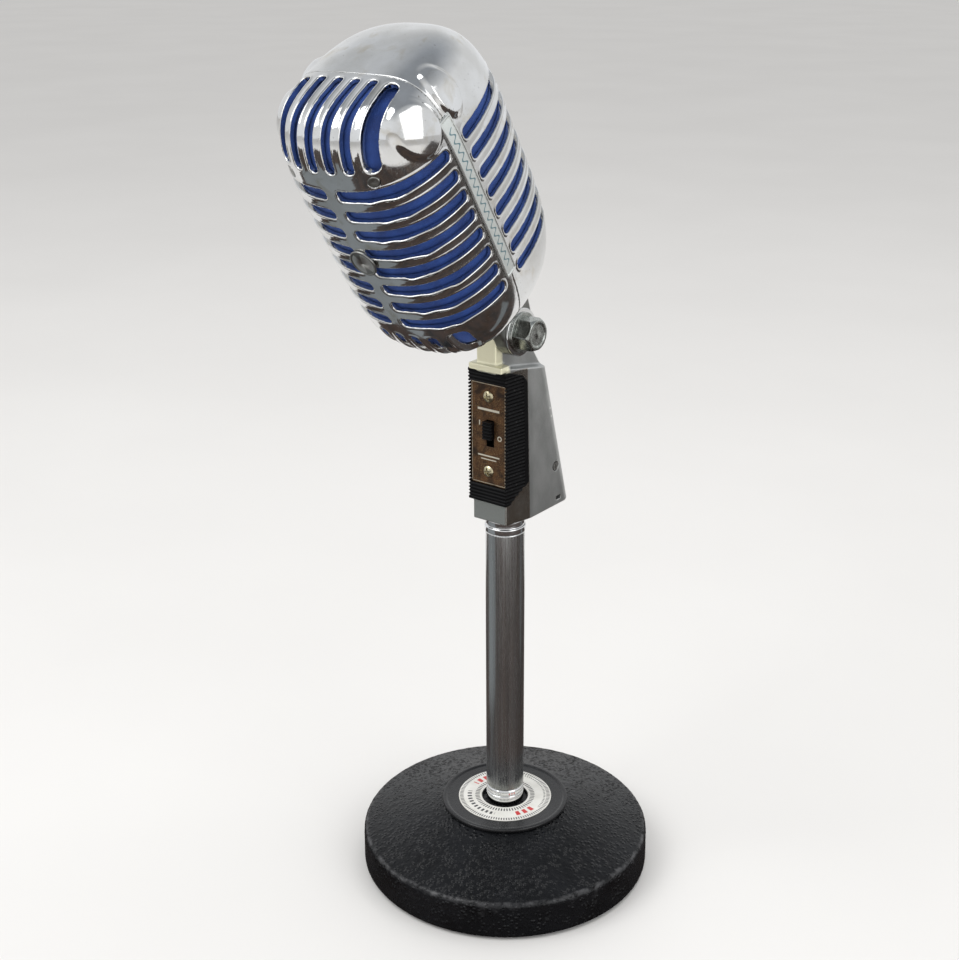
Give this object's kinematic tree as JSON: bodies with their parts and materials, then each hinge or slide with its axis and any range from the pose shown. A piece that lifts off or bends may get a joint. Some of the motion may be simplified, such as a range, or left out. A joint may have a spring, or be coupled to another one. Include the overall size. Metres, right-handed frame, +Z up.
{
  "type": "desktop mic stand",
  "caption": "Retro slotted microphone head on a tilting swivel with a slide switch, on a straight chrome stem and a heavy round cast base.",
  "frame": {"origin": "centre of the flat underside of the base", "axes": "+Z up along the stem, the microphone faces -Y, X is the tilt axis"},
  "size_m": [0.1464, 0.1922, 0.4199],
  "materials": {
    "hammered_black": "black hammer-textured paint over cast iron, worn bright at the rim",
    "pad_rubber": "matt black foot pad",
    "satin_black": "satin black disc with a rolled rim",
    "printed_label": "white printed ring label with fine hatch marks",
    "zinc_steel": "plain turned steel",
    "stem_chrome": "worn satin chrome, drawn lengthwise",
    "bright_chrome": "bright chrome plate",
    "satin_die_cast": "satin die-cast grey with polished front",
    "black_plastic": "black moulded plastic, ribbed",
    "copper_plate": "brown copper-toned plate with a thin light border",
    "plated_screw": "yellowish plated screw",
    "gold_contact": "plated contact pins",
    "wire_red": "thin insulated wire",
    "fibre": "dark pressed fibre",
    "cast_bracket": "grey cast bracket, polished edges",
    "bolt_steel": "plated steel, faintly pitted",
    "grille_chrome": "chromed casting with soft uneven slot lips",
    "blue_cloth": "royal blue acoustic cloth",
    "strip_metal": "bright blank side strip",
    "capsule_can": "plain drawn can",
    "rubber_ring": "soft rubber ring"
  },
  "bodies": {
    "stand": {"base_casting": "hammered_black", "foot_pad": "pad_rubber", "hub_flange": "satin_black", "hub_label": "printed_label", "base_stud": "zinc_steel", "stud_washer": "zinc_steel", "stud_nut": "zinc_steel", "stem_collar": "bright_chrome", "stem_tube": "stem_chrome", "stem_top_thread": "zinc_steel", "lock_ring": "bright_chrome"},
    "swivel": {"swivel_housing": "satin_die_cast", "switch_cover": "black_plastic", "switch_plate": "copper_plate", "switch_plate_screws": "plated_screw", "switch_body": "black_plastic", "switch_wires": "wire_red", "xlr_insert": "black_plastic", "xlr_pins": "gold_contact", "xlr_set_screw": "bolt_steel"},
    "switch_slider": {"switch_knob": "black_plastic"},
    "head": {"head_bracket": "cast_bracket", "friction_washers": "fibre", "pivot_washers": "bolt_steel", "lock_washers": "bolt_steel", "pivot_bolt": "bolt_steel", "pivot_nut": "bolt_steel", "front_grille": "grille_chrome", "rear_grille": "grille_chrome", "front_liner": "blue_cloth", "rear_liner": "blue_cloth", "side_strips": "strip_metal", "front_badge": "cast_bracket", "shell_rivets": "cast_bracket", "shell_screws": "bolt_steel", "capsule_frame": "zinc_steel", "capsule": "capsule_can", "capsule_ring": "rubber_ring", "capsule_screws": "bolt_steel", "capsule_wires": "gold_contact"}
  },
  "joints": [
    {"name": "mic_pan", "type": "hinge", "parent": "stand", "child": "swivel", "pos_m": [0, 0, 0.191], "axis": [0, 0, 1], "range_deg": [-90, 90]},
    {"name": "switch_slide", "type": "slide", "parent": "swivel", "child": "switch_slider", "axis": [0, 0, -1], "range_m": [0, 0.004]},
    {"name": "head_tilt", "type": "hinge", "parent": "swivel", "child": "head", "pos_m": [0, -0.006, 0.2845], "axis": [1, 0, 0], "range_deg": [-75, 18]}
  ]
}
